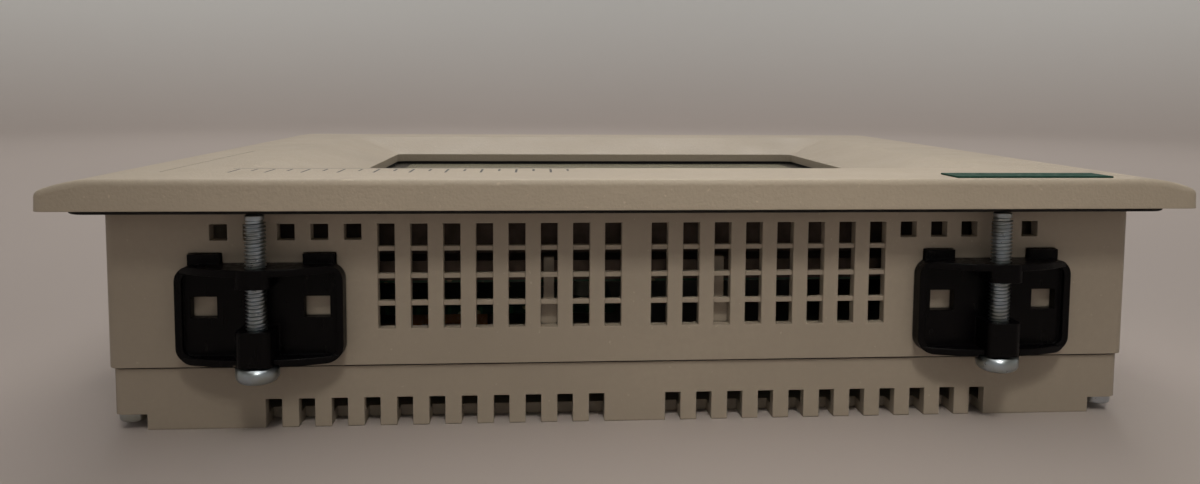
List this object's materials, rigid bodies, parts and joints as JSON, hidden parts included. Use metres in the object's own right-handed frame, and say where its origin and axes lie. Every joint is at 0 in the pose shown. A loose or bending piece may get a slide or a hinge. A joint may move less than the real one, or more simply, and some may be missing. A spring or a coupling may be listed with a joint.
{
  "type": "operator touch panel",
  "caption": "Flush-mounting operator touch panel: recessed display in a moulded bezel, vented housing, rear cover, screw clamps and bottom connectors.",
  "frame": {"origin": "centre of the rear cover's back face", "axes": "+Z out of the front, +X towards the user's left with the panel upright, so the panel's top edge faces -Y"},
  "size_m": [0.214, 0.1562, 0.0483],
  "materials": {
    "bezel_plastic": "fine-grained moulded plastic",
    "housing_plastic": "fine-grained moulded plastic",
    "label_print": "smooth printed label",
    "print_ink": "matt ink",
    "seal_rubber": "matt",
    "touch_film": "anti-glare film",
    "sensor_glass": "clear",
    "lamp_glass": "frosted",
    "sheet_steel": "plated sheet",
    "zinc_steel": "bright zinc plating",
    "clamp_zinc": "bluish zinc plating",
    "bright_steel": "nickel plating",
    "white_plastic": "matt",
    "terminal_plastic": "satin",
    "nylon": "satin",
    "amber_film": "smooth",
    "brass": "satin",
    "tinned_brass": "tin plating",
    "circuit_board": "solder resist",
    "chip_plastic": "matt",
    "capacitor_can": "satin",
    "ferrite": "matt",
    "foil_label": "satin foil",
    "clamp_plastic": "satin glass-filled plastic"
  },
  "bodies": {
    "housing": {"front_bezel": "bezel_plastic", "front_label": "label_print", "front_print": "print_ink", "bezel_seal": "seal_rubber", "display_gasket": "seal_rubber", "touch_film": "touch_film", "touch_glass": "sensor_glass", "lcd_frame": "sheet_steel", "lcd_cell": "sensor_glass", "backlight_tray": "white_plastic", "backlight_lamp": "lamp_glass", "touch_tail": "amber_film", "tail_socket": "white_plastic", "carrier_plate": "sheet_steel", "carrier_screws": "zinc_steel", "board_standoffs": "brass", "main_board": "circuit_board", "board_screws": "zinc_steel", "processor": "chip_plastic", "memory_chips": "chip_plastic", "supply_capacitors": "capacitor_can", "supply_inductor": "ferrite", "inverter_board": "circuit_board", "inverter_spacers": "nylon", "inverter_transformer": "amber_film", "power_terminal": "terminal_plastic", "power_pins": "tinned_brass", "serial_shell": "bright_steel", "serial_insert": "chip_plastic", "serial_jackposts": "bright_steel", "earth_washer": "zinc_steel", "earth_screw": "zinc_steel", "earth_nut": "zinc_steel", "main_housing": "housing_plastic", "housing_screws": "zinc_steel", "rear_cover": "housing_plastic", "rating_plate": "foil_label", "rear_cover_screws": "zinc_steel", "clamp_body_top_right": "clamp_plastic", "clamp_body_top_left": "clamp_plastic", "clamp_body_bottom_right": "clamp_plastic", "clamp_body_bottom_left": "clamp_plastic"},
    "pad_top_right": {"clamp_pad_top_right": "clamp_zinc"},
    "screw_top_right": {"clamp_screw_top_right": "clamp_zinc"},
    "pad_top_left": {"clamp_pad_top_left": "clamp_zinc"},
    "screw_top_left": {"clamp_screw_top_left": "clamp_zinc"},
    "pad_bottom_right": {"clamp_pad_bottom_right": "clamp_zinc"},
    "screw_bottom_right": {"clamp_screw_bottom_right": "clamp_zinc"},
    "pad_bottom_left": {"clamp_pad_bottom_left": "clamp_zinc"},
    "screw_bottom_left": {"clamp_screw_bottom_left": "clamp_zinc"}
  },
  "joints": [
    {"name": "top_right_travel", "type": "slide", "parent": "housing", "child": "pad_top_right", "axis": [0, 0, -1], "range_m": [0, 0.008]},
    {"name": "top_right_turn", "type": "hinge", "parent": "pad_top_right", "child": "screw_top_right", "pos_m": [-0.0698, -0.0743, 0.03], "axis": [0, 0, -1], "range_deg": [0, 4114.4]},
    {"name": "top_left_travel", "type": "slide", "parent": "housing", "child": "pad_top_left", "axis": [0, 0, -1], "range_m": [0, 0.008]},
    {"name": "top_left_turn", "type": "hinge", "parent": "pad_top_left", "child": "screw_top_left", "pos_m": [0.0698, -0.0743, 0.03], "axis": [0, 0, -1], "range_deg": [0, 4114.4]},
    {"name": "bottom_right_travel", "type": "slide", "parent": "housing", "child": "pad_bottom_right", "axis": [0, 0, -1], "range_m": [0, 0.008]},
    {"name": "bottom_right_turn", "type": "hinge", "parent": "pad_bottom_right", "child": "screw_bottom_right", "pos_m": [-0.0698, 0.0743, 0.03], "axis": [0, 0, -1], "range_deg": [0, 4114.4]},
    {"name": "bottom_left_travel", "type": "slide", "parent": "housing", "child": "pad_bottom_left", "axis": [0, 0, -1], "range_m": [0, 0.008]},
    {"name": "bottom_left_turn", "type": "hinge", "parent": "pad_bottom_left", "child": "screw_bottom_left", "pos_m": [0.0698, 0.0743, 0.03], "axis": [0, 0, -1], "range_deg": [0, 4114.4]}
  ],
  "couplings": [
    {"joint": "top_right_turn", "follows": "top_right_travel", "rad_per_m": 8976},
    {"joint": "top_left_turn", "follows": "top_left_travel", "rad_per_m": 8976},
    {"joint": "bottom_right_turn", "follows": "bottom_right_travel", "rad_per_m": 8976},
    {"joint": "bottom_left_turn", "follows": "bottom_left_travel", "rad_per_m": 8976}
  ]
}
